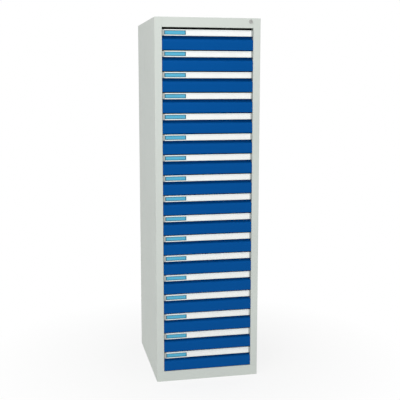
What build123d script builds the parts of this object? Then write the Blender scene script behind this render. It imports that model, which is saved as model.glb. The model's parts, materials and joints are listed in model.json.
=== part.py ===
from build123d import *
import math
import os

# Tall steel cabinet with a stack of equal drawers, modelled in millimetres.
# X runs along the width, -Y is the front, +Z is up, and the origin is the middle of the foot print.

# Drawer stack: these five sizes add up to the height of the cabinet
drawer_count = 17
drawer_pitch = 99.5
plinth_height = 52.0
head_gap = 9.0
top_rail_height = 47.5
drawer_gap = 2.5
drawer_travel = 420.0

# Folded steel case
case_width = 520.0
case_depth = 600.0
case_sheet = 1.0
case_bend = 2.5
fold_bend = 1.3
stile_width = 36.0
stile_depth = 30.0
stile_hem = 18.0
lid_rim_flat = 1.0
rail_depth = 10.0
rail_lip = 8.0
back_flange = 15.0
plinth_sheet = 1.5
plinth_flange = 20.0
wall_hole_radius = 4.5
wall_hole_spacing = 400.0
wall_hole_drop = 60.0

# Drawer front: one sheet with a rolled-back shoulder under the handle strip
front_side_gap = 1.0
front_sheet = 1.0
front_foot_bevel = 1.2
grip_recess = 20.0
grip_curve_height = 27.0
front_foot_flange = 30.0
front_head_flange = 10.0

# Handle strip: a moulded channel that carries the label, and two end caps
strip_height = 32.0
strip_proud = 2.5
strip_wall = 1.5
strip_edge = 0.8
label_border = 4.5
label_lip = 0.8
label_slot = 0.8
label_lip_overlap = 1.2
grip_lip = 3.0
strip_leg_drop = 5.0
cap_width = 10.0
cap_step = 0.4

# Drawer tray: a folded pan that hangs from a rail on each side
tray_sheet = 1.0
tray_rim_drop = 14.0
tray_rear_drop = 10.0
tray_rear_space = 41.0
rail_flange = 9.0
rail_leg = 14.0

# Runners and the posts that carry them
runner_sheet = 1.2
runner_lip_gap = 2.0
runner_side_gap = 0.8
runner_seat_gap = 0.3
runner_setback = 2.0
post_sheet = 1.2
post_width = 30.0
post_inset = 2.0
stop_tab_drop = 8.0
stop_lug_reach = 7.0
stop_lug_length = 15.0
stop_lug_height = 7.0
stop_lug_gap = 1.0

# Central lock: cylinder, cam and the bar that catches every drawer
lock_inset = 49.0
lock_drop = 17.0
collar_radius = 10.0
collar_height = 1.5
barrel_radius = 8.0
barrel_fit = 0.1
barrel_length = 27.0
nut_across_flats = 19.0
nut_height = 5.0
plug_radius = 6.0
plug_fit = 0.05
plug_recess = 0.3
keyway_width = 1.4
keyway_height = 8.0
keyway_depth = 12.0
cam_sheet = 2.5
cam_hub_radius = 8.0
cam_tip_radius = 3.5
cam_arm = 8.0
cam_pin_radius = 2.5
cam_slot_gap = 0.5
lock_turn_degrees = 90.0
bar_width = 16.0
bar_sheet = 3.0
bar_slide_gap = 0.3
bar_tail = 15.0
bar_head_margin = 5.0
catch_height = 10.0
catch_side_gap = 3.0
catch_gap = 3.0
lock_lug_reach = 9.0
lock_lug_length = 15.0
lock_lug_height = 15.0
lock_lug_level = 35.0
lock_lug_gap = 1.2
guide_radius = 3.0
guide_fit = 0.3
guide_drawers = (2, 9, 15)

# One overrun serves every cut
overrun = 1.0

# Places worked out from the sizes above
case_height = plinth_height + drawer_count * drawer_pitch + head_gap + top_rail_height
half_width = case_width / 2
front_y = -case_depth / 2 + strip_proud
back_y = case_depth / 2
lid_rim = case_bend + lid_rim_flat
panel_top = case_height - lid_rim
panel_height = panel_top - plinth_height
rail_bottom = case_height - top_rail_height
stile_inner = half_width - stile_width
stile_back = front_y + stile_depth

front_height = drawer_pitch - drawer_gap
front_half_width = stile_inner - front_side_gap
front_base = plinth_height + drawer_gap
strip_bottom = front_height - strip_height
curve_bottom = strip_bottom - grip_curve_height
fold_top = front_height - strip_wall
front_rear = grip_recess + front_sheet

post_face = stile_inner - post_inset
runner_web = post_face - runner_sheet
flange_tip = runner_web - runner_side_gap
tray_side = flange_tip - rail_flange
rail_face = tray_side + tray_sheet
tray_front = front_y + front_rear
tray_rear = back_y - case_sheet - tray_rear_space
tray_rim = front_height - tray_rim_drop
flange_level = tray_rim - tray_sheet
lip_tip = tray_side + runner_lip_gap
runner_bottom = flange_level - runner_seat_gap - runner_sheet
runner_top = tray_rim + runner_seat_gap + runner_sheet

bar_front = stile_back + bar_slide_gap
bar_back = bar_front + bar_sheet
front_post_y = bar_back + bar_slide_gap
runner_front = front_post_y + runner_setback
runner_rear = tray_rear
stop_tab_rear = runner_front + runner_sheet

lock_x = half_width - lock_inset
lock_z = case_height - lock_drop
cam_front = front_y + barrel_length
half_turn = math.radians(lock_turn_degrees) / 2
pin_reach = cam_arm * math.cos(half_turn)
pin_drop = cam_arm * math.sin(half_turn)
bar_travel = 2 * pin_drop
bar_inner = stile_inner + post_inset
catch_top = lock_lug_level - catch_gap


def block(x_span, y_span, z_span):
    """A plain block between three pairs of places."""
    corner = Pos(x_span[0], y_span[0], z_span[0])
    size = [high - low for low, high in (x_span, y_span, z_span)]
    return corner * Box(*size, align=(Align.MIN, Align.MIN, Align.MIN))


def along_x(section, start, length):
    """Extrude a section drawn in Y and Z along the width."""
    return extrude(Plane.YZ.offset(start) * section, amount=length, dir=(1, 0, 0))


def along_y(section, start, length):
    """Extrude a section drawn in X and Z along the depth."""
    plane = Plane(origin=(0, start, 0), x_dir=(1, 0, 0), z_dir=(0, -1, 0))
    return extrude(plane * section, amount=length, dir=(0, 1, 0))


def along_z(section, start, length):
    """Extrude a section drawn in X and Y along the height."""
    return extrude(Plane.XY.offset(start) * section, amount=length, dir=(0, 0, 1))


def folded(points, sheet, bends, side):
    """Section of a sheet folded along a line of points, with its outer bend radii."""
    line = FilletPolyline(*points, radius=bends) if bends else Polyline(*points)
    return thickened(line.edges(), sheet, side)


def thickened(edges, sheet, side):
    """Section of a sheet whose outer face follows a chain of edges."""
    chain = Wire(edges)
    return Sketch() + Face(chain.offset_2d(sheet, kind=Kind.INTERSECTION, side=side, closed=True))


def rod(x, z, radius, y_span):
    """A round bar that lies along the depth."""
    centre = (y_span[0] + y_span[1]) / 2
    return Pos(x, centre, z) * Rot(90, 0, 0) * Cylinder(radius, y_span[1] - y_span[0])


def rounded_block(half, y_span, z_span, corner, edge):
    """A block over the foot print, its front corners and, where asked, its top edges rounded."""
    solid = block((-half, half), y_span, z_span)
    uprights = solid.edges().filter_by(Axis.Z).group_by(Axis.Y)[0]
    solid = fillet(uprights, corner)
    if edge:
        solid = fillet(solid.faces().sort_by(Axis.Z)[-1].edges(), edge)
    return solid


def side_panel():
    """Right wall, folded at the front into the stile and its hem."""
    points = [
        (stile_inner + stile_hem, stile_back),
        (stile_inner, stile_back),
        (stile_inner, front_y),
        (half_width, front_y),
        (half_width, back_y),
    ]
    section = folded(points, case_sheet, (fold_bend, fold_bend, case_bend), Side.LEFT)
    return along_z(section, plinth_height, panel_height)


def back_panel():
    """Shallow pan between the side walls, with two holes for wall screws."""
    inner = half_width - case_sheet
    points = [
        (-inner, back_y - back_flange),
        (-inner, back_y),
        (inner, back_y),
        (inner, back_y - back_flange),
    ]
    pan = along_z(folded(points, case_sheet, fold_bend, Side.RIGHT), plinth_height, panel_height)
    hole_z = case_height - wall_hole_drop
    hole_span = (back_y - case_sheet - overrun, back_y + overrun)
    for sign in (-1, 1):
        pan -= rod(sign * wall_hole_spacing / 2, hole_z, wall_hole_radius, hole_span)
    return pan


def top_panel():
    """Pressed lid with a rolled edge, and the front rail that is folded down from it."""
    outer = rounded_block(half_width, (front_y, back_y), (panel_top, case_height), case_bend, case_bend)
    inside = rounded_block(
        half_width - case_sheet,
        (front_y + case_sheet, back_y - case_sheet),
        (panel_top - overrun, case_height - case_sheet),
        case_bend - case_sheet,
        0,
    )
    lid = outer - inside
    points = [
        (front_y + rail_depth, rail_bottom + rail_lip),
        (front_y + rail_depth, rail_bottom),
        (front_y, rail_bottom),
        (front_y, panel_top),
    ]
    rail = along_x(folded(points, case_sheet, fold_bend, Side.RIGHT), -stile_inner, 2 * stile_inner)
    hole_span = (front_y - overrun, front_y + case_sheet + overrun)
    return lid + rail - rod(lock_x, lock_z, barrel_radius + barrel_fit, hole_span)


def base_plinth():
    """Pressed base: its top is the floor of the case and its foot is turned in all round."""
    outer = rounded_block(half_width, (front_y, back_y), (0, plinth_height), case_bend, 0)
    hollow = rounded_block(
        half_width - plinth_sheet,
        (front_y + plinth_sheet, back_y - plinth_sheet),
        (plinth_sheet, plinth_height - plinth_sheet),
        case_bend - plinth_sheet,
        0,
    )
    window_half = half_width - plinth_flange
    window = block(
        (-window_half, window_half),
        (front_y + plinth_flange, back_y - plinth_flange),
        (-overrun, plinth_sheet + overrun),
    )
    return outer - hollow - window


def front_shoulder():
    """The two arcs that roll the drawer front back under the handle strip."""
    turn = 2 * math.atan(grip_recess / grip_curve_height)
    radius = grip_curve_height / (2 * math.sin(turn))
    degrees = math.degrees(turn)
    lower = JernArc((0, curve_bottom), (0, 1), radius, -degrees)
    upper = JernArc(lower @ 1, lower % 1, radius, degrees)
    return lower.edges() + upper.edges()


def front_foot(reach):
    """The bevelled fold at the foot of a drawer front, and its face up to the shoulder."""
    return Polyline((reach, 0), (front_foot_bevel, 0), (0, front_foot_bevel), (0, curve_bottom)).edges()


def drawer_front():
    """Painted front: foot flange, face, rolled shoulder, upstand and head flange in one sheet."""
    head = Polyline(
        (grip_recess, strip_bottom),
        (grip_recess, fold_top),
        (grip_recess + front_head_flange, fold_top),
    )
    outline = front_foot(front_foot_flange) + front_shoulder() + head.edges()
    section = thickened(outline, front_sheet, Side.RIGHT)
    sheet = along_x(section, -front_half_width, 2 * front_half_width)
    cheek_rear = Polyline((grip_recess, strip_bottom), (front_rear, strip_bottom), (front_rear, 0))
    cheek = make_face(front_foot(front_rear) + front_shoulder() + cheek_rear.edges())
    for start in (-front_half_width, front_half_width - front_sheet):
        sheet += along_x(cheek, start, front_sheet)
    return Pos(0, front_y, 0) * sheet


def strip_corners(section):
    """Break the two front corners of a strip section."""
    corners = section.vertices().group_by(Axis.X)[0].sort_by(Axis.Y)
    return chamfer([corners[0], corners[-1]], strip_edge)


def handle_strip():
    """Label channel and finger grip in one extrusion."""
    lip_back = -strip_proud + label_lip
    seat = lip_back + label_slot
    wall_back = seat + strip_wall
    low_lip = strip_bottom + label_border
    high_lip = front_height - label_border
    leg_front = grip_recess - strip_wall
    section = make_face(Polyline(
        (-strip_proud, strip_bottom),
        (-strip_proud, low_lip),
        (lip_back, low_lip),
        (lip_back, low_lip - label_lip_overlap),
        (seat, low_lip - label_lip_overlap),
        (seat, high_lip + label_lip_overlap),
        (lip_back, high_lip + label_lip_overlap),
        (lip_back, high_lip),
        (-strip_proud, high_lip),
        (-strip_proud, front_height),
        (grip_recess + front_head_flange, front_height),
        (grip_recess + front_head_flange, fold_top),
        (grip_recess, fold_top),
        (grip_recess, strip_bottom + strip_leg_drop),
        (leg_front, strip_bottom + strip_leg_drop),
        (leg_front, fold_top),
        (wall_back, fold_top),
        (wall_back, strip_bottom + strip_wall),
        (wall_back + grip_lip, strip_bottom + strip_wall),
        (wall_back + grip_lip, strip_bottom),
        close=True,
    ))
    half = front_half_width - cap_width
    return Pos(0, front_y, 0) * along_x(strip_corners(section), -half, 2 * half)


def strip_end_cap():
    """Right end cap, a step smaller than the strip, which closes the channel and the grip."""
    section = span_rectangle(
        (-strip_proud + cap_step, grip_recess),
        (strip_bottom + cap_step, front_height - cap_step),
    )
    return Pos(0, front_y, 0) * along_x(strip_corners(section), front_half_width - cap_width, cap_width)


def tray_pan():
    """Folded pan with a high front wall and a lower rear wall."""
    points = [
        (-tray_side, tray_rim),
        (-tray_side, front_sheet),
        (tray_side, front_sheet),
        (tray_side, tray_rim),
    ]
    pan = along_y(folded(points, tray_sheet, 0, Side.LEFT), tray_front, tray_rear - tray_front)
    front_wall_top = fold_top - front_sheet
    rear_wall_top = tray_rim - tray_rear_drop
    for start, top in ((tray_front, front_wall_top), (tray_rear - tray_sheet, rear_wall_top)):
        pan += block((-tray_side, tray_side), (start, start + tray_sheet), (front_sheet, top))
    return pan


def hanging_rail():
    """Right rail: an angle on the side of the pan, whose flange hangs in the runner."""
    points = [(tray_side, tray_rim - rail_leg), (tray_side, tray_rim), (flange_tip, tray_rim)]
    return along_y(folded(points, tray_sheet, 0, Side.RIGHT), tray_front, tray_rear - tray_front)


def drawer_tray():
    """Pan, hanging rails, a stop lug on each rail and the lock lug on the right."""
    rail = hanging_rail()
    stop_y = stop_tab_rear + drawer_travel + stop_lug_gap
    stop_top = runner_bottom - stop_lug_gap
    stop_lug = block(
        (rail_face, rail_face + stop_lug_reach),
        (stop_y, stop_y + stop_lug_length),
        (stop_top - stop_lug_height, stop_top),
    )
    lock_y = bar_back + lock_lug_gap
    lock_lug = block(
        (tray_side, tray_side + lock_lug_reach),
        (lock_y, lock_y + lock_lug_length),
        (lock_lug_level, lock_lug_level + lock_lug_height),
    )
    sided = [rail, stop_lug]
    return Compound([tray_pan(), lock_lug] + sided + [mirror(piece, about=Plane.YZ) for piece in sided])


def runner():
    """Right runner: a channel round the rail's flange, with a stop tab at its mouth."""
    points = [
        (lip_tip, runner_bottom),
        (post_face, runner_bottom),
        (post_face, runner_top),
        (lip_tip, runner_top),
    ]
    channel = along_y(folded(points, runner_sheet, 0, Side.LEFT), runner_front, runner_rear - runner_front)
    tab = block(
        (lip_tip, runner_web),
        (runner_front, stop_tab_rear),
        (runner_bottom - stop_tab_drop, runner_bottom),
    )
    return channel + tab


def post(start):
    """Right post: a channel on the plinth, as high as the side wall that it is open to."""
    wall = half_width - case_sheet
    points = [
        (wall, start),
        (post_face, start),
        (post_face, start + post_width),
        (wall, start + post_width),
    ]
    return along_z(folded(points, post_sheet, 0, Side.RIGHT), plinth_height, panel_height)


def guide_place(number):
    """Height of a bar guide, half-way up the drawer that it stands beside."""
    return drawer_base(number) + front_height / 2


def guide_stud(number):
    """Stud that guides the lock bar between the stile and the front post."""
    return rod(bar_inner + bar_width / 2, guide_place(number), guide_radius, (stile_back, front_post_y))


def runner_frame():
    """All posts and runners, and the lock bar's guide studs."""
    right = [post(front_post_y), post(runner_rear - post_width)]
    right += [Pos(0, 0, drawer_base(number)) * runner() for number in range(1, drawer_count + 1)]
    studs = [guide_stud(number) for number in guide_drawers]
    return Compound(right + [mirror(piece, about=Plane.YZ) for piece in right] + studs)


def lock_housing():
    """Collar, barrel and hexagon nut in the top rail."""
    barrel_rear = front_y + barrel_length
    housing = rod(lock_x, lock_z, collar_radius, (front_y - collar_height, front_y))
    housing += rod(lock_x, lock_z, barrel_radius, (front_y, barrel_rear))
    nut = Pos(lock_x, lock_z) * RegularPolygon(nut_across_flats / 2, 6, major_radius=False)
    housing += along_y(nut, front_y + case_sheet, nut_height)
    bore_span = (front_y - collar_height - overrun, barrel_rear + overrun)
    return housing - rod(lock_x, lock_z, plug_radius + plug_fit, bore_span)


def lock_plug():
    """Turning plug with its keyway, and the cam whose pin lifts the bar."""
    face = front_y - collar_height + plug_recess
    plug = rod(lock_x, lock_z, plug_radius, (face, cam_front))
    plug -= block(
        (lock_x - keyway_width / 2, lock_x + keyway_width / 2),
        (face - overrun, face + keyway_depth),
        (lock_z - keyway_height / 2, lock_z + keyway_height / 2),
    )
    tip = Pos(pin_reach, -pin_drop)
    outline = make_hull((Circle(cam_hub_radius) + tip * Circle(cam_tip_radius)).edges())
    cam = along_y(Pos(lock_x, lock_z) * outline, cam_front, cam_sheet)
    cam += rod(lock_x + pin_reach, lock_z - pin_drop, cam_pin_radius, (cam_front + cam_sheet, bar_back))
    return Compound([plug, cam])


def lock_bar():
    """Flat bar with a head for the cam's pin, and one catch below each drawer's lug."""
    pin_z = lock_z - pin_drop
    slot_height = 2 * (cam_pin_radius + cam_slot_gap)
    head_half = slot_height / 2 + bar_head_margin
    bar_outer = bar_inner + bar_width
    foot = drawer_base(drawer_count) + catch_top - catch_height - bar_tail
    strip = span_rectangle((bar_inner, bar_outer), (foot, pin_z + head_half))
    guide_width = 2 * (guide_radius + guide_fit)
    guide_slot = Rectangle(guide_width, guide_width + bar_travel)
    for number in guide_drawers:
        strip -= Pos(bar_inner + bar_width / 2, guide_place(number) - bar_travel / 2) * guide_slot
    head_inner = lock_x + pin_reach - head_half
    swing = cam_arm - pin_reach
    pin_slot = SlotOverall(slot_height + swing, slot_height)
    head = span_rectangle((head_inner, bar_inner), (pin_z - head_half, pin_z + head_half))
    head -= Pos(lock_x + pin_reach + swing / 2, pin_z) * pin_slot
    catches = []
    for number in range(1, drawer_count + 1):
        top = drawer_base(number) + catch_top
        catches.append(span_rectangle((tray_side + catch_side_gap, bar_inner), (top - catch_height, top)))
    return Compound([along_y(shape, bar_front, bar_sheet) for shape in [strip, head] + catches])


def span_rectangle(x_span, z_span):
    """A rectangle between two pairs of places."""
    centre = Pos((x_span[0] + x_span[1]) / 2, (z_span[0] + z_span[1]) / 2)
    return centre * Rectangle(x_span[1] - x_span[0], z_span[1] - z_span[0])


def drawer_base(number):
    """Foot of a drawer front, counted from 1 at the top of the stack."""
    return front_base + (drawer_count - number) * drawer_pitch


def main():
    right_side = side_panel()
    nodes = {
        "right_side_panel": right_side,
        "left_side_panel": mirror(right_side, about=Plane.YZ),
        "back_panel": back_panel(),
        "top_panel": top_panel(),
        "base_plinth": base_plinth(),
        "runner_frame": runner_frame(),
        "lock_housing": lock_housing(),
        "lock_plug": lock_plug(),
        "lock_bar": lock_bar(),
    }
    front = drawer_front()
    tray = drawer_tray()
    cap = strip_end_cap()
    strip = Compound([handle_strip(), cap, mirror(cap, about=Plane.YZ)])
    for number in range(1, drawer_count + 1):
        place = Pos(0, 0, drawer_base(number))
        nodes[f"drawer_front_{number:02d}"] = place * front
        nodes[f"drawer_tray_{number:02d}"] = place * tray
        nodes[f"handle_strip_{number:02d}"] = place * strip
    os.makedirs("parts", exist_ok=True)
    for name, shape in nodes.items():
        export_step(shape, f"parts/{name}.step")


main()
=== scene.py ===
import json
import math

import bmesh
import bpy
from bpy.props import FloatProperty, FloatVectorProperty, IntProperty, PointerProperty
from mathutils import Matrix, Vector

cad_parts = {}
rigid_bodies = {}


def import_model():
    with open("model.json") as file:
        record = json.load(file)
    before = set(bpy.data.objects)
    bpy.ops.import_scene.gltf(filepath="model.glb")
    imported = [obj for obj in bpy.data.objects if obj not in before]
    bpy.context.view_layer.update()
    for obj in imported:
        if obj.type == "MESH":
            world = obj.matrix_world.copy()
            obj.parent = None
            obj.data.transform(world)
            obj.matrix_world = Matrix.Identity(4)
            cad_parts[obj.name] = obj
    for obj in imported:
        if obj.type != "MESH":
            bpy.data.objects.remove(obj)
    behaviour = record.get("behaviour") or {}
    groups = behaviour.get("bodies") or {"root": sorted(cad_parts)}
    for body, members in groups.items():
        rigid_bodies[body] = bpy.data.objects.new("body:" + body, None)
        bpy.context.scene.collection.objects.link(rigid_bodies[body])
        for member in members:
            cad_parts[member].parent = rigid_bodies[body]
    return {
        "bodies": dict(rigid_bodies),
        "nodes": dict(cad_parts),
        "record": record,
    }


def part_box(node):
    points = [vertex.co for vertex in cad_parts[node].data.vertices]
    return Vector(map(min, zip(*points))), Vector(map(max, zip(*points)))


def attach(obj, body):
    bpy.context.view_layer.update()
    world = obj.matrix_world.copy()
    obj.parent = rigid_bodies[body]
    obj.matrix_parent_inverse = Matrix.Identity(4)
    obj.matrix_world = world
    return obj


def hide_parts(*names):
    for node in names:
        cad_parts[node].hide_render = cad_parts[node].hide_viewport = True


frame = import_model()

bl_info = {
    "name": "Drawer Cabinet Dressing",
    "version": (1, 0, 0),
    "blender": (4, 2, 0),
    "location": "View3D > Sidebar > Cabinet",
    "description": "Dresses the solids of a drawer cabinet with finished pieces, paint and a studio",
    "category": "Object",
}

IMAGE_SIDE = 400
SENSOR_WIDTH = 36.0
ARC_STEPS = 8
EDGE_STEPS = 4
ROUND_STEPS = 20
SMOOTH_ANGLE = math.radians(32)
MILLIMETRE = 0.001

# A strip is drawn a little shorter than its solid, which leaves the gaps above it dark when seen from afar
STRIP_HEAD_TRIM = 2.0 * MILLIMETRE
STRIP_FOOT_TRIM = 0.8 * MILLIMETRE

# Where the rivets of a tray's rails sit along its inside
RAIL_RIVET_SHARES = (0.08, 0.36, 0.64, 0.92)
# A blind rivet from its bore out to its rim, as shares of its radius and of its height
RIVET_PROFILE_SHARES = (
    (0.34, 0.25),
    (0.34, 0.88),
    (0.42, 0.97),
    (0.62, 0.92),
    (0.85, 0.62),
    (0.97, 0.25),
    (1.00, 0.00),
)

# Finishes: the band that most of a noise lies in, and how well normals match on an edge and on the flat
MIDDLE_BAND = (0.3, 0.7)
EDGE_MATCH = (0.80, 0.995)
FULL_RANGE = (0.0, 1.0)
COAT_EDGE = 1.0 * MILLIMETRE
COAT_GRAIN = 0.15 * MILLIMETRE
MOULD_GRAIN = 0.10 * MILLIMETRE
PLATE_EDGE = 0.4 * MILLIMETRE
PLATE_GRAIN = 0.08 * MILLIMETRE
CARD_GRAIN = 0.05 * MILLIMETRE

# Places read from the solids, in metres. A drawer's own places start at the foot of its front.
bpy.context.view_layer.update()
front_low, front_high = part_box("drawer_front_01")
strip_low, strip_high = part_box("handle_strip_01")
tray_low, tray_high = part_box("drawer_tray_01")
back_low, back_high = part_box("back_panel")
front_plane = front_low.y
half_width = front_high.x
foot_reach = front_high.y - front_plane
fold_top = front_high.z - front_low.z - STRIP_HEAD_TRIM
strip_bottom = strip_low.z - front_low.z + STRIP_FOOT_TRIM
strip_top = strip_high.z - front_low.z - STRIP_HEAD_TRIM
strip_proud = front_plane - strip_low.y
strip_reach = strip_high.y - front_plane
tray_face = tray_low.y - front_plane


# Properties


def linear(red, green, blue):
    """Scene-linear colour of an sRGB colour given in steps of 255."""
    shares = (red / 255, green / 255, blue / 255)
    return tuple(s / 12.92 if s <= 0.04045 else ((s + 0.055) / 1.055) ** 2.4 for s in shares)


def length(name, description, millimetres):
    """A length property, written in millimetres."""
    metres = millimetres * MILLIMETRE
    return FloatProperty(name=name, description=description, default=metres, unit="LENGTH", min=0.0)


def colour(name, description, red, green, blue):
    """A colour property, written as an sRGB colour in steps of 255."""
    return FloatVectorProperty(
        name=name,
        description=description,
        default=linear(red, green, blue),
        subtype="COLOR",
        size=3,
        min=0.0,
        max=1.0,
    )


def spot(name, description, x, y, z):
    """A property for a place in the studio, written in metres."""
    return FloatVectorProperty(name=name, description=description, default=(x, y, z), subtype="TRANSLATION")


def reach(name, description, metres):
    """A property for a long distance, written in metres."""
    return FloatProperty(name=name, description=description, default=metres, unit="LENGTH", min=0.0)


def watts(name, description, power):
    """A property for the power of a lamp."""
    return FloatProperty(name=name, description=description, default=power, unit="POWER", min=0.0)


class CabinetSizes(bpy.types.PropertyGroup):
    """Sizes of the pieces that are drawn finer than the solids."""

    sheet: length("Front sheet", "Thickness of a drawer front", 1.0)
    curve_height: length("Shoulder", "Height of the shoulder that rolls back under the strip", 27.0)
    foot_bend: length("Foot bend", "Outer radius of the bend at the foot of a front", 1.5)
    front_edge: length("Front edge", "Rounding of a front's two ends", 0.7)
    strip_wall: length("Strip wall", "Thickness of the handle strip", 1.5)
    strip_edge: length("Strip edge", "Rounding of the strip's front edges", 1.2)
    fine_edge: length("Fine edge", "Rounding of the strip's lips", 0.25)
    label_border: length("Label border", "Height of the strip above and below the label window", 4.5)
    label_lip: length("Label lip", "Thickness of the lips that hold the label", 0.8)
    label_slot: length("Label slot", "Depth of the slot that takes the label", 0.8)
    label_overlap: length("Label overlap", "How far the lips reach over the label", 1.2)
    grip_lip: length("Grip lip", "Depth of the lip that the fingers pull", 3.0)
    leg_drop: length("Leg drop", "Distance of the strip's rear leg above its foot", 5.0)
    cap_width: length("Cap width", "Width of an end cap", 10.0)
    cap_step: length("Cap step", "How much smaller a cap is than the strip", 0.4)
    cap_corner: length("Cap corner", "Rounding of a cap's outer front corner", 5.0)
    card_start: length("Card start", "Distance of the label card from the left end of the front", 10.0)
    card_width: length("Card width", "Width of the label card", 104.0)
    card_sheet: length("Card sheet", "Thickness of the card and of the white insert", 0.3)
    card_frame: length("Card frame", "Height of the printed frame that shows above and below the field", 3.2)
    card_end: length("Card end", "Width of the printed frame at the card's two ends", 4.4)
    rivet_radius: length("Rivet radius", "Radius of a blind rivet's head", 3.2)
    rivet_height: length("Rivet height", "Height of a blind rivet's head", 1.1)
    grip_rivet_spacing: length("Grip rivet spacing", "Distance between the rivets behind a strip", 160.0)
    grip_rivet_rise: length("Grip rivet rise", "Height of these rivets above the foot of the strip", 15.0)
    rail_rivet_drop: length("Rail rivet drop", "Distance of the rail rivets below the top of a tray", 18.0)
    inside_gap: length("Inside gap", "Distance of a tray's stated inside from its walls", 0.5)
    rivet_inset: length("Rivet inset", "Distance of the back panel's rivets from its edges", 9.0)
    back_rivets: IntProperty(
        name="Back rivets", description="Rivets along each side of the back panel", default=13, min=2
    )


class CabinetFinish(bpy.types.PropertyGroup):
    """Colours of the paints, mouldings and papers."""

    case_grey: colour("Case grey", "Powder coat of the case", 209, 215, 209)
    drawer_blue: colour("Drawer blue", "Powder coat of the drawer fronts", 1, 80, 152)
    tray_grey: colour("Tray grey", "Powder coat of the trays", 196, 200, 197)
    # Edge colours: partly polished wear, partly painted highlight along the rounded edges.
    rubbed_and_highlight_grey: colour("Rubbed grey", "Polished edges of the grey powder coats", 233, 236, 233)
    rubbed_and_highlight_blue: colour("Rubbed blue", "Polished edges of the blue powder coat", 24, 98, 170)
    strip_white: colour("Strip white", "Moulded handle strips", 236, 241, 239)
    # The caps' grey is painted shade: it stands in for the shade seen at the ends of the strips.
    cap_shade_grey: colour("Cap grey", "Moulded end caps", 168, 173, 171)
    insert_white: colour("Insert white", "Paper behind the label window", 246, 248, 246)
    card_blue: colour("Card blue", "Field of the label cards", 87, 178, 211)
    card_teal: colour("Card teal", "Printed frame of the label cards", 38, 106, 130)
    zinc: colour("Zinc", "Plated runners, posts and bar", 176, 180, 183)
    nickel: colour("Nickel", "Plated lock", 186, 187, 184)


class StudioLook(bpy.types.PropertyGroup):
    """Light, floor and camera."""

    ambient: FloatProperty(
        name="Ambient", description="Strength of the white surround", default=0.62, min=0.0
    )
    key_power: watts("Key power", "Power of the large lamp in front", 66.0)
    key_place: spot("Key place", "Where the front lamp hangs", -1.5, -3.9, 3.2)
    key_target: spot("Key target", "What the front lamp faces", 0.0, 0.0, 1.3)
    top_power: watts("Top power", "Power of the lamp overhead", 30.0)
    top_place: spot("Top place", "Where the overhead lamp hangs", -0.7, -1.5, 4.2)
    top_target: spot("Top target", "What the overhead lamp faces", 0.0, -0.2, 0.8)
    lamp_side: reach("Lamp side", "Side of each square lamp", 2.8)
    floor_reach: reach("Floor reach", "How far the floor goes each way", 40.0)
    floor_white: colour("Floor white", "Pale studio floor", 232, 232, 232)
    floor_glow: FloatProperty(
        name="Floor glow",
        description="Share of plain white in the floor at the object",
        default=0.8,
        subtype="FACTOR",
    )
    fade_start: reach("Fade start", "Where the floor starts to fade", 0.4)
    fade_end: reach("Fade end", "Where the floor is plain white", 1.2)
    camera_place: spot("Camera place", "Where the camera stands", -0.794, -3.875, 1.488)
    camera_turn: FloatProperty(
        name="Camera turn", description="Turn of the view to the right", default=0.2077, subtype="ANGLE"
    )
    camera_tilt: FloatProperty(
        name="Camera tilt", description="Tilt of the view above the level", default=-0.1459, subtype="ANGLE"
    )
    camera_focus: FloatProperty(
        name="Focal length", description="In pixels of the square image", default=751.8, subtype="PIXEL"
    )
    camera_shift: FloatProperty(
        name="Vertical shift", description="In shares of the image", default=-0.015
    )


# Outlines


def arc(centre, radius, start, end, steps=ARC_STEPS):
    """Points of an arc from one angle to another, in degrees."""
    angles = [math.radians(start + (end - start) * step / steps) for step in range(steps + 1)]
    return [Vector((centre[0] + radius * math.cos(a), centre[1] + radius * math.sin(a))) for a in angles]


def moved_right(points, distance, closed=False):
    """A line of points moved to the right of the way it runs, with mitred corners."""
    count = len(points)
    moved = []
    for index, point in enumerate(points):
        normals = []
        for first, second in ((index - 1, index), (index, index + 1)):
            if closed or (first >= 0 and second < count):
                way = (points[second % count] - points[first % count]).normalized()
                normals.append(Vector((way.y, -way.x)))
        total = sum(normals, Vector((0.0, 0.0)))
        moved.append(point + total * (len(normals) * distance / total.length_squared))
    return moved


def rounded(corners):
    """Closed outline from corners that each give two places and a radius."""
    count = len(corners)
    outline = []
    for index, (first, second, radius) in enumerate(corners):
        corner = Vector((first, second))
        if not radius:
            outline.append(corner)
            continue
        before = (Vector(corners[index - 1][:2]) - corner).normalized()
        after = (Vector(corners[(index + 1) % count][:2]) - corner).normalized()
        half = before.angle(after) / 2
        middle = corner + (before + after).normalized() * radius / math.sin(half)
        start = corner + before * radius / math.tan(half) - middle
        end = corner + after * radius / math.tan(half) - middle
        sweep = start.angle_signed(end)
        for step in range(EDGE_STEPS + 1):
            turn = -sweep * step / EDGE_STEPS
            spin = Vector((
                start.x * math.cos(turn) - start.y * math.sin(turn),
                start.x * math.sin(turn) + start.y * math.cos(turn),
            ))
            outline.append(middle + spin)
    return outline


def edge_steps(low, high, edge):
    """Places along a piece with rounded ends, each with the inset of its outline."""
    turns = [math.radians(90 * step / EDGE_STEPS) for step in range(EDGE_STEPS + 1)]
    ends = [(edge * (1 - math.sin(turn)), edge * (1 - math.cos(turn))) for turn in turns]
    start = [(low + back, inset) for back, inset in reversed(ends)]
    return start + [(high - back, inset) for back, inset in ends]


# Meshes


def loft(rings):
    """Closed shell through a row of like rings."""
    count = len(rings[0])
    points = [point for ring in rings for point in ring]
    faces = [tuple(range(count)), tuple(range(len(points) - count, len(points)))]
    for ring in range(len(rings) - 1):
        for index in range(count):
            after = (index + 1) % count
            low = ring * count
            faces.append((low + index, low + after, low + count + after, low + count + index))
    return points, faces


def along_x(outline, start, end):
    """Shell of an outline in Y and Z, drawn out along the width."""
    return loft([[(x, point.x, point.y) for point in outline] for x in (start, end)])


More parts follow.
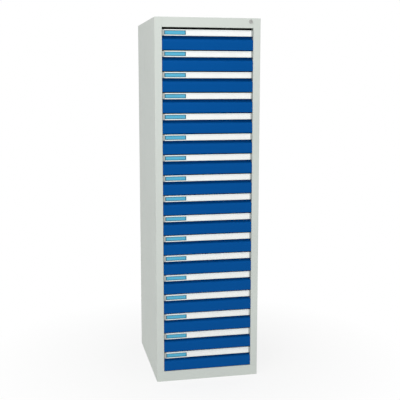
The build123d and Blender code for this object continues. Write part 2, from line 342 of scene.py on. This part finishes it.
def mesh_of(name, shells, materials):
    """One mesh from closed shells, with outward faces and smooth bends."""
    points = []
    faces = []
    for shell_points, shell_faces in shells:
        faces += [tuple(len(points) + index for index in face) for face in shell_faces]
        points += shell_points
    mesh = bpy.data.meshes.new(name)
    mesh.from_pydata(points, [], faces)
    work = bmesh.new()
    work.from_mesh(mesh)
    bmesh.ops.recalc_face_normals(work, faces=work.faces)
    work.to_mesh(mesh)
    work.free()
    mesh.shade_smooth()
    mesh.set_sharp_from_angle(angle=SMOOTH_ANGLE)
    for material in materials:
        mesh.materials.append(material)
    return mesh


def set_piece(name, mesh, body, place, slot, *nodes):
    """Put a mesh in the scene as a piece that rides a body and stands for some solids."""
    piece = bpy.data.objects.new(name, mesh)
    bpy.context.scene.collection.objects.link(piece)
    piece.location = place
    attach(piece, body)
    if nodes:
        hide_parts(*nodes)
    return piece


def drawers():
    """Number and front foot of every drawer, from the top of the stack down."""
    numbers = sorted(name[-2:] for name in frame["bodies"] if name.startswith("drawer_"))
    feet = [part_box(f"drawer_front_{number}")[0].z for number in numbers]
    return [(number, Vector((0, front_plane, foot))) for number, foot in zip(numbers, feet)]


# Finishes


class Finish:
    """A surface finish that is built up node by node."""

    def __init__(self, name, metallic=0.0, specular=0.5):
        self.material = bpy.data.materials.new(name)
        self.material.use_nodes = True
        self.tree = self.material.node_tree
        self.tree.nodes.clear()
        plain = {"Metallic": metallic, "Specular IOR Level": specular}
        self.shader = self.add("ShaderNodeBsdfPrincipled", plain)
        self.output = self.add("ShaderNodeOutputMaterial", {"Surface": self.shader.outputs[0]})
        self.local = self.add("ShaderNodeTexCoord", {}).outputs["Object"]
        chance = self.add("ShaderNodeObjectInfo", {}).outputs["Random"]
        self.place = self.vector("ADD", self.local, chance)

    def add(self, kind, inputs, **settings):
        """A new node, with its settings made and its inputs set or linked."""
        made = self.tree.nodes.new(kind)
        for name, value in settings.items():
            setattr(made, name, value)
        for name, value in inputs.items():
            if isinstance(value, bpy.types.NodeSocket):
                self.tree.links.new(value, made.inputs[name])
            else:
                made.inputs[name].default_value = value
        return made

    def vector(self, operation, first, second):
        """Two vectors put together."""
        return self.add("ShaderNodeVectorMath", {0: first, 1: second}, operation=operation).outputs[0]

    def noise(self, scale, detail=2.0, stretch=None):
        """Cloudy pattern fixed to the piece, from 0 to 1."""
        place = self.vector("MULTIPLY", self.place, stretch) if stretch else self.place
        inputs = {"Vector": place, "Scale": scale, "Detail": detail}
        return self.add("ShaderNodeTexNoise", inputs).outputs[0]

    def ranged(self, value, band, to):
        """A value moved from one range to another, and held there."""
        inputs = {"Value": value, "From Min": band[0], "From Max": band[1], "To Min": to[0], "To Max": to[1]}
        return self.add("ShaderNodeMapRange", inputs).outputs[0]

    def clouds(self, scale, detail=2.0, stretch=None, band=MIDDLE_BAND, to=FULL_RANGE):
        """Cloudy pattern with one band of its values spread over a range."""
        return self.ranged(self.noise(scale, detail, stretch), band, to)

    def times(self, first, second):
        """Product of two values."""
        return self.add("ShaderNodeMath", {0: first, 1: second}, operation="MULTIPLY").outputs[0]

    def mixed(self, share, first, second):
        """A colour between two colours."""
        return self.add("ShaderNodeMix", {0: share, 6: first, 7: second}, data_type="RGBA").outputs[2]

    def edges(self, radius):
        """Where the surface turns sharply: 1 on an edge and 0 on the flat, and the softened normal."""
        soft = self.add("ShaderNodeBevel", {"Radius": radius}, samples=4).outputs[0]
        flat = self.add("ShaderNodeNewGeometry", {}).outputs["Normal"]
        match = self.add("ShaderNodeVectorMath", {0: soft, 1: flat}, operation="DOT_PRODUCT")
        return self.ranged(match.outputs["Value"], EDGE_MATCH, FULL_RANGE[::-1]), soft

    def bump(self, height, strength, distance, normal=None):
        """Relief on the surface."""
        inputs = {"Strength": strength, "Distance": distance, "Height": height}
        if normal:
            inputs["Normal"] = normal
        made = self.add("ShaderNodeBump", inputs).outputs[0]
        self.tree.links.new(made, self.shader.inputs["Normal"])

    def set(self, name, value):
        """Set or link one of the shader's own inputs."""
        if isinstance(value, bpy.types.NodeSocket):
            self.tree.links.new(value, self.shader.inputs[name])
        else:
            self.shader.inputs[name].default_value = value


def shade(rgb, share):
    """A colour made lighter or darker by a share."""
    return tuple(min(1.0, part * share) for part in rgb) + (1.0,)


def powder_coat(name, rgb, rubbed_and_highlight_rgb, specular):
    """Baked powder coat: fine orange peel, faint clouds, scuff marks, and lighter edges that are partly
    polished wear and partly painted highlight.
    """
    finish = Finish(name, specular=specular)
    cloud = finish.clouds(scale=2.4, detail=3.0)
    base = finish.mixed(cloud, shade(rgb, 0.975), shade(rgb, 1.015))
    upright = (1.0, 1.0, 0.35)
    scuffs = finish.clouds(scale=26.0, detail=8.0, stretch=upright, band=(0.62, 0.80), to=(0.0, 0.35))
    marked = finish.mixed(scuffs, base, shade(rgb, 0.90))
    # Lighter colour along the edges: partly polished wear, partly painted highlight on the rounded edges.
    edge, soft = finish.edges(COAT_EDGE)
    patches = finish.clouds(scale=70.0, detail=4.0, band=(0.35, 0.65), to=(0.25, 0.8))
    finish.set("Base Color", finish.mixed(finish.times(edge, patches), marked, shade(rubbed_and_highlight_rgb, 1.0)))
    finish.set("Roughness", finish.clouds(scale=38.0, detail=5.0, to=(0.46, 0.56)))
    finish.bump(finish.noise(scale=1500.0), 0.10, COAT_GRAIN, soft)
    return finish.material


def moulded(name, rgb):
    """Moulded plastic: slight clouding, fine grain and handled spots."""
    finish = Finish(name, specular=0.35)
    cloud = finish.clouds(scale=9.0, detail=3.0)
    base = finish.mixed(cloud, shade(rgb, 0.98), shade(rgb, 1.01))
    spots = finish.clouds(scale=40.0, detail=7.0, band=(0.64, 0.82), to=(0.0, 0.3))
    finish.set("Base Color", finish.mixed(spots, base, shade(rgb, 0.93)))
    finish.set("Roughness", finish.clouds(scale=60.0, detail=4.0, to=(0.38, 0.50)))
    finish.bump(finish.noise(scale=2200.0), 0.06, MOULD_GRAIN)
    return finish.material


def plated(name, rgb, roughness, spangle):
    """Plated steel: spangled or brushed tone, fine scratches, duller patches, and edges lightened partly as
    wear and partly as painted highlight.
    """
    finish = Finish(name, metallic=1.0)
    cells = finish.add("ShaderNodeTexVoronoi", {"Vector": finish.place, "Scale": spangle})
    tone = finish.add("ShaderNodeSeparateColor", {0: cells.outputs["Color"]}).outputs[0]
    base = finish.mixed(tone, shade(rgb, 0.86), shade(rgb, 1.06))
    dull = finish.clouds(scale=30.0, detail=6.0, band=(0.5, 0.75), to=(0.0, 0.5))
    # Lighter plate along the edges: partly wear, partly painted highlight on the rounded edges.
    edge, soft = finish.edges(PLATE_EDGE)
    plate_edge_wear_and_highlight = finish.times(edge, 0.4)
    worn = finish.mixed(dull, base, shade(rgb, 0.72))
    finish.set("Base Color", finish.mixed(plate_edge_wear_and_highlight, worn, shade(rgb, 1.2)))
    polish = (roughness - 0.06, roughness + 0.10)
    finish.set("Roughness", finish.clouds(scale=120.0, detail=6.0, to=polish))
    brushed = (1.0, 0.04, 1.0)
    finish.bump(finish.noise(scale=600.0, detail=3.0, stretch=brushed), 0.08, PLATE_GRAIN, soft)
    return finish.material


def card(name, rgb):
    """Printed card: paper fibres and slight fading."""
    finish = Finish(name, specular=0.25)
    fade = finish.clouds(scale=12.0, detail=3.0)
    base = finish.mixed(fade, shade(rgb, 0.97), shade(rgb, 1.03))
    lengthwise = (0.25, 1.0, 1.0)
    fibres = finish.clouds(scale=420.0, detail=5.0, stretch=lengthwise, band=(0.45, 0.75), to=(0.0, 0.25))
    finish.set("Base Color", finish.mixed(fibres, base, shade(rgb, 0.92)))
    finish.set("Roughness", finish.clouds(scale=90.0, detail=3.0, to=(0.58, 0.70)))
    finish.bump(finish.noise(scale=900.0, detail=4.0), 0.10, CARD_GRAIN)
    return finish.material


def seen_directly(tree):
    """1 for the camera and for reflections and glass that show the surround, 0 for plain light."""
    path = tree.nodes.new("ShaderNodeLightPath")
    total = path.outputs["Is Camera Ray"]
    for name in ("Is Glossy Ray", "Is Transmission Ray"):
        both = tree.nodes.new("ShaderNodeMath")
        both.operation = "MAXIMUM"
        tree.links.new(total, both.inputs[0])
        tree.links.new(path.outputs[name], both.inputs[1])
        total = both.outputs[0]
    return total


# Drawer pieces


def front_line(sizes):
    """Outer line of a front in Y and Z: foot flange, face, rolled shoulder, upstand and head flange."""
    recess = tray_face - sizes.sheet
    bend = sizes.foot_bend
    turn = 2 * math.atan(recess / sizes.curve_height)
    radius = sizes.curve_height / (2 * math.sin(turn))
    degrees = math.degrees(turn)
    line = [Vector((foot_reach, 0.0))]
    line += arc((bend, bend), bend, 270, 180)
    line += arc((radius, strip_bottom - sizes.curve_height), radius, 180, 180 - degrees)
    line += arc((recess - radius, strip_bottom), radius, -degrees, 0)[1:]
    line += [Vector((recess, fold_top)), Vector((strip_reach, fold_top))]
    return line


def front_shells(sizes):
    """The sheet of a front, with rounded ends, and its two cheeks."""
    line = front_line(sizes)
    inner = moved_right(line, sizes.sheet)
    rings = []
    for x, inset in edge_steps(-half_width, half_width, sizes.front_edge):
        outline = moved_right(line, inset) + inner[::-1]
        rings.append([(x, point.x, point.y) for point in outline])
    cheek = inner[1:-2] + [Vector((tray_face, sizes.sheet))]
    cheeks = [along_x(cheek, side * (half_width - sizes.sheet), side * half_width) for side in (-1, 1)]
    return [loft(rings)] + cheeks


def strip_outline(sizes):
    """Section of the handle strip in Y and Z, with its label channel and finger grip."""
    edge = sizes.strip_edge
    fine = sizes.fine_edge
    wall = sizes.strip_wall
    lip_back = sizes.label_lip - strip_proud
    seat = lip_back + sizes.label_slot
    wall_back = seat + wall
    low = strip_bottom + sizes.label_border
    high = strip_top - sizes.label_border
    recess = tray_face - sizes.sheet
    leg = strip_bottom + sizes.leg_drop
    return rounded([
        (-strip_proud, strip_bottom, edge),
        (-strip_proud, low, fine),
        (lip_back, low, fine),
        (lip_back, low - sizes.label_overlap, 0),
        (seat, low - sizes.label_overlap, 0),
        (seat, high + sizes.label_overlap, 0),
        (lip_back, high + sizes.label_overlap, 0),
        (lip_back, high, fine),
        (-strip_proud, high, fine),
        (-strip_proud, strip_top, edge),
        (strip_reach, strip_top, 0),
        (strip_reach, fold_top, 0),
        (recess, fold_top, 0),
        (recess, leg, 0),
        (recess - wall, leg, 0),
        (recess - wall, fold_top, 0),
        (wall_back, fold_top, 0),
        (wall_back, strip_bottom + wall, 0),
        (wall_back + sizes.grip_lip, strip_bottom + wall, fine),
        (wall_back + sizes.grip_lip, strip_bottom, fine),
    ])


def cap_shell(sizes, side):
    """End cap, rounded at its outer corner and along its top and foot."""
    near = side * (half_width - sizes.cap_width)
    far = side * half_width
    front = sizes.cap_step - strip_proud
    rear = tray_face - sizes.sheet
    plan = rounded([(near, rear, 0), (far, rear, 0), (far, front, sizes.cap_corner), (near, front, 0)])
    foot = strip_bottom + sizes.cap_step
    head = strip_top - sizes.cap_step
    rings = []
    for z, inset in edge_steps(foot, head, sizes.front_edge):
        rings.append([(point.x, point.y, z) for point in moved_right(plan, side * inset, closed=True)])
    return loft(rings)


def label_seat(sizes):
    """Place of the label's back and the foot and head of the label slot."""
    seat = sizes.label_lip + sizes.label_slot - strip_proud
    hidden = sizes.label_border - sizes.label_overlap
    return seat, strip_bottom + hidden, strip_top - hidden


def card_shell(sizes, start, end):
    """Thin card in the label slot, its front divided into a field and a frame."""
    seat, low, high = label_seat(sizes)
    rim = sizes.card_frame + sizes.label_overlap
    columns = (start, start + sizes.card_end, end - sizes.card_end, end)
    rows = (low, low + rim, high - rim, high)
    points = [(x, seat - sizes.card_sheet, z) for z in rows for x in columns]
    across = len(columns)
    back = len(points)
    faces = []
    for first in range(back - across):
        if (first + 1) % across:
            faces.append((first, first + 1, first + across + 1, first + across))
    points += [(x, seat, z) for z in (low, high) for x in (start, end)]
    low_left, low_right, high_left, high_right = range(back, len(points))
    faces.append((low_left, low_right, high_right, high_left))
    faces.append((*range(across), low_right, low_left))
    faces.append((*range(back - across, back), high_right, high_left))
    faces.append((*range(0, back, across), high_left, low_left))
    faces.append((*range(across - 1, back, across), high_right, low_right))
    return points, faces


# Rivets


def rivet_shell(sizes, place, axis):
    """Blind rivet: a low dome with the hole that its pin leaves."""
    spin = Vector((0, 0, 1)).rotation_difference(Vector(axis))
    turns = [2 * math.pi * step / ROUND_STEPS for step in range(ROUND_STEPS)]
    rings = []
    for radius_share, height_share in RIVET_PROFILE_SHARES:
        radius = radius_share * sizes.rivet_radius
        rise = height_share * sizes.rivet_height
        ring = [Vector((radius * math.cos(turn), radius * math.sin(turn), rise)) for turn in turns]
        rings.append([tuple(Vector(place) + spin @ point) for point in ring])
    return loft(rings)


def tray_rivets(sizes):
    """The rivets behind a handle strip and along a tray's two hanging rails."""
    openings = frame["record"]["physics"]["openings"]
    inside = next(opening for opening in openings if opening["name"] == "drawer_01_inside")
    inside_low, inside_high = [Vector(corner) for corner in inside["box_m"]]
    grip_y = tray_face + sizes.sheet
    grip_z = strip_bottom + sizes.grip_rivet_rise
    shells = []
    for column in (-1, 0, 1):
        place = (column * sizes.grip_rivet_spacing, grip_y, grip_z)
        shells.append(rivet_shell(sizes, place, (0, 1, 0)))
    wall = inside_high.x + sizes.inside_gap
    rail_z = tray_high.z - front_low.z - sizes.rail_rivet_drop
    for share in RAIL_RIVET_SHARES:
        rail_y = inside_low.y + (inside_high.y - inside_low.y) * share - front_plane
        for side in (-1, 1):
            shells.append(rivet_shell(sizes, (side * wall, rail_y, rail_z), (-side, 0, 0)))
    return shells


def back_rivets(sizes):
    """The rivets along both sides of the back panel."""
    column = back_high.x - sizes.rivet_inset
    foot = back_low.z + sizes.rivet_inset
    pitch = (back_high.z - sizes.rivet_inset - foot) / (sizes.back_rivets - 1)
    shells = []
    for number in range(sizes.back_rivets):
        for side in (-1, 1):
            place = (side * column, back_high.y, foot + pitch * number)
            shells.append(rivet_shell(sizes, place, (0, 1, 0)))
    return shells


# Operators


class CABINET_OT_paint_solids(bpy.types.Operator):
    """Give the case, trays, runners and lock their paint and plating"""

    bl_idname = "cabinet.paint_solids"
    bl_label = "Paint Solids"

    def execute(self, context):
        colours = context.scene.cabinet_finish
        # Lighter edge colour for the grey coats: partly wear, partly painted highlight.
        coat_edge_wear_and_highlight = colours.rubbed_and_highlight_grey
        finishes = {
            "grey_paint": powder_coat("case_powder_coat", colours.case_grey, coat_edge_wear_and_highlight, specular=0.30),
            "tray_paint": powder_coat("tray_powder_coat", colours.tray_grey, coat_edge_wear_and_highlight, specular=0.30),
            "zinc_steel": plated("zinc_plate", colours.zinc, roughness=0.38, spangle=260.0),
            "lock_nickel": plated("nickel_plate", colours.nickel, roughness=0.26, spangle=900.0),
        }
        for part in frame["record"]["subparts"]:
            if part["material_slot"] in finishes:
                solid = frame["nodes"][part["node"]]
                solid.data.materials.clear()
                solid.data.materials.append(finishes[part["material_slot"]])
        return {"FINISHED"}


class CABINET_OT_drawer_fronts(bpy.types.Operator):
    """Build the blue drawer fronts with their rolled shoulders"""

    bl_idname = "cabinet.drawer_fronts"
    bl_label = "Drawer Fronts"

    def execute(self, context):
        colours = context.scene.cabinet_finish
        # The blue coat's edges are lighter: partly wear, partly painted highlight.
        paint = powder_coat("blue_powder_coat", colours.drawer_blue, colours.rubbed_and_highlight_blue, specular=0.05)
        mesh = mesh_of("drawer_front_skin", front_shells(context.scene.cabinet_sizes), [paint])
        for number, place in drawers():
            name = f"front_skin_{number}"
            set_piece(name, mesh, f"drawer_{number}", place, "blue_paint", f"drawer_front_{number}")
        return {"FINISHED"}


class CABINET_OT_handle_strips(bpy.types.Operator):
    """Build the white handle strips and their end caps, whose grey is painted shade of the strip ends"""

    bl_idname = "cabinet.handle_strips"
    bl_label = "Handle Strips"

    def execute(self, context):
        sizes = context.scene.cabinet_sizes
        colours = context.scene.cabinet_finish
        end = half_width - sizes.cap_width
        white = moulded("strip_white", colours.strip_white)
        # The grey of the caps is painted shade of the strip ends.
        grey = moulded("cap_shade_grey", colours.cap_shade_grey)
        strip = mesh_of("strip", [along_x(strip_outline(sizes), -end, end)], [white])
        caps = {}
        for side, sign in (("left", -1), ("right", 1)):
            caps[side] = mesh_of(f"cap_{side}", [cap_shell(sizes, sign)], [grey])
        for number, place in drawers():
            body = f"drawer_{number}"
            node = f"handle_strip_{number}"
            set_piece(f"strip_{number}", strip, body, place, "white_strip", node)
            for side, mesh in caps.items():
                set_piece(f"strip_cap_{side}_{number}", mesh, body, place, "white_strip", node)
        return {"FINISHED"}


class CABINET_OT_label_cards(bpy.types.Operator):
    """Slide a label card and a white insert into every handle strip"""

    bl_idname = "cabinet.label_cards"
    bl_label = "Label Cards"

    def execute(self, context):
        sizes = context.scene.cabinet_sizes
        colours = context.scene.cabinet_finish
        start = sizes.card_start - half_width
        end = start + sizes.card_width
        papers = [card("card_teal", colours.card_teal), card("card_blue", colours.card_blue)]
        label = mesh_of("label", [card_shell(sizes, start, end)], papers)
        label.shade_flat()
        face_plane = min(face.center.y for face in label.polygons)
        shown = [face for face in label.polygons if face.center.y == face_plane]
        field = max(shown, key=lambda face: face.area)
        field.material_index = 1
        far = half_width - sizes.cap_width
        white = card("insert_white", colours.insert_white)
        insert = mesh_of("insert", [card_shell(sizes, end, far)], [white])
        insert.shade_flat()
        for number, place in drawers():
            set_piece(f"label_card_{number}", label, f"drawer_{number}", place, "white_strip")
            set_piece(f"label_insert_{number}", insert, f"drawer_{number}", place, "white_strip")
        return {"FINISHED"}


class CABINET_OT_rivets(bpy.types.Operator):
    """Set the blind rivets of the handle strips, hanging rails and back panel"""

    bl_idname = "cabinet.rivets"
    bl_label = "Rivets"

    def execute(self, context):
        sizes = context.scene.cabinet_sizes
        steel = plated("rivet_steel", context.scene.cabinet_finish.zinc, roughness=0.34, spangle=700.0)
        mesh = mesh_of("tray_rivets", tray_rivets(sizes), [steel])
        for number, place in drawers():
            set_piece(f"tray_rivets_{number}", mesh, f"drawer_{number}", place, "zinc_steel")
        back = mesh_of("back_rivets", back_rivets(sizes), [steel])
        set_piece("back_rivets", back, "case", (0, 0, 0), "zinc_steel")
        return {"FINISHED"}


class CABINET_OT_studio(bpy.types.Operator):
    """Lay the pale floor, hang the lamps and place the camera"""

    bl_idname = "cabinet.studio"
    bl_label = "Studio"

    def execute(self, context):
        look = context.scene.studio_look
        self.lay_floor(context, look)
        self.light_surround(context, look)
        self.hang_lamp(context, "key", look.key_place, look.key_target, look.lamp_side, look.key_power)
        self.hang_lamp(context, "top", look.top_place, look.top_target, look.lamp_side, look.top_power)
        self.place_camera(context, look)
        context.scene.view_settings.view_transform = "Standard"
        return {"FINISHED"}

    def lay_floor(self, context, look):
        """A wide pale floor that keeps the object's shadow."""
        corners = ((-1, -1), (1, -1), (1, 1), (-1, 1))
        points = [(x * look.floor_reach, y * look.floor_reach, 0.0) for x, y in corners]
        mesh = bpy.data.meshes.new("floor")
        mesh.from_pydata(points, [], [tuple(range(len(points)))])
        finish = Finish("floor_paint", specular=0.0)
        cloud = finish.clouds(scale=0.8)
        pale = look.floor_white
        finish.set("Base Color", finish.mixed(cloud, shade(pale, 0.985), shade(pale, 1.0)))
        finish.set("Roughness", 0.9)
        glow = finish.add("ShaderNodeEmission", {"Color": (1, 1, 1, 1), "Strength": 1.0}).outputs[0]
        away = finish.add("ShaderNodeVectorMath", {0: finish.local}, operation="LENGTH").outputs["Value"]
        fade = finish.ranged(away, (look.fade_start, look.fade_end), (look.floor_glow, 1.0))
        share = finish.times(seen_directly(finish.tree), fade)
        mix = finish.add("ShaderNodeMixShader", {0: share, 1: finish.shader.outputs[0], 2: glow})
        finish.tree.links.new(mix.outputs[0], finish.output.inputs["Surface"])
        mesh.materials.append(finish.material)
        floor = bpy.data.objects.new("floor", mesh)
        context.scene.collection.objects.link(floor)

    def light_surround(self, context, look):
        """A white surround that lights the object softly."""
        world = bpy.data.worlds.new("surround")
        context.scene.world = world
        world.use_nodes = True
        tree = world.node_tree
        background = tree.nodes["Background"]
        background.inputs["Color"].default_value = (1, 1, 1, 1)
        level = tree.nodes.new("ShaderNodeMapRange")
        level.inputs["To Min"].default_value = look.ambient
        level.inputs["To Max"].default_value = 1.0
        tree.links.new(seen_directly(tree), level.inputs["Value"])
        tree.links.new(level.outputs[0], background.inputs["Strength"])

    def hang_lamp(self, context, name, place, target, side, power):
        """A large square lamp that faces a point and doesn't show in reflections."""
        lamp = bpy.data.lights.new(name, "AREA")
        lamp.size = side
        lamp.energy = power
        holder = bpy.data.objects.new(name, lamp)
        context.scene.collection.objects.link(holder)
        holder.visible_glossy = False
        holder.location = place
        holder.rotation_euler = (Vector(target) - Vector(place)).to_track_quat("-Z", "Y").to_euler()

    def place_camera(self, context, look):
        """The camera, turned to the right and tilted down."""
        lens = bpy.data.cameras.new("camera")
        lens.sensor_width = SENSOR_WIDTH
        lens.lens = look.camera_focus * SENSOR_WIDTH / IMAGE_SIDE
        lens.shift_y = look.camera_shift
        camera = bpy.data.objects.new("camera", lens)
        context.scene.collection.objects.link(camera)
        camera.location = look.camera_place
        level = math.cos(look.camera_tilt)
        ahead = Vector((
            math.sin(look.camera_turn) * level,
            math.cos(look.camera_turn) * level,
            math.sin(look.camera_tilt),
        ))
        camera.rotation_euler = ahead.to_track_quat("-Z", "Y").to_euler()
        context.scene.camera = camera


STEPS = (
    CABINET_OT_paint_solids,
    CABINET_OT_drawer_fronts,
    CABINET_OT_handle_strips,
    CABINET_OT_label_cards,
    CABINET_OT_rivets,
    CABINET_OT_studio,
)


class CABINET_PT_dressing(bpy.types.Panel):
    """Lists the steps that dress the cabinet"""

    bl_idname = "CABINET_PT_dressing"
    bl_label = "Drawer Cabinet"
    bl_space_type = "VIEW_3D"
    bl_region_type = "UI"
    bl_category = "Cabinet"

    def draw(self, context):
        for step in STEPS:
            self.layout.operator(step.bl_idname)


CLASSES = (CabinetSizes, CabinetFinish, StudioLook) + STEPS + (CABINET_PT_dressing,)


def register():
    """Make the classes and their settings known to Blender."""
    for item in CLASSES:
        bpy.utils.register_class(item)
    bpy.types.Scene.cabinet_sizes = PointerProperty(type=CabinetSizes)
    bpy.types.Scene.cabinet_finish = PointerProperty(type=CabinetFinish)
    bpy.types.Scene.studio_look = PointerProperty(type=StudioLook)


def unregister():
    """Take the classes and their settings away again."""
    del bpy.types.Scene.studio_look
    del bpy.types.Scene.cabinet_finish
    del bpy.types.Scene.cabinet_sizes
    for item in reversed(CLASSES):
        bpy.utils.unregister_class(item)


def main():
    """Run every step in order."""
    register()
    bpy.ops.cabinet.paint_solids()
    bpy.ops.cabinet.drawer_fronts()
    bpy.ops.cabinet.handle_strips()
    bpy.ops.cabinet.label_cards()
    bpy.ops.cabinet.rivets()
    bpy.ops.cabinet.studio()


if __name__ == "__main__":
    main()
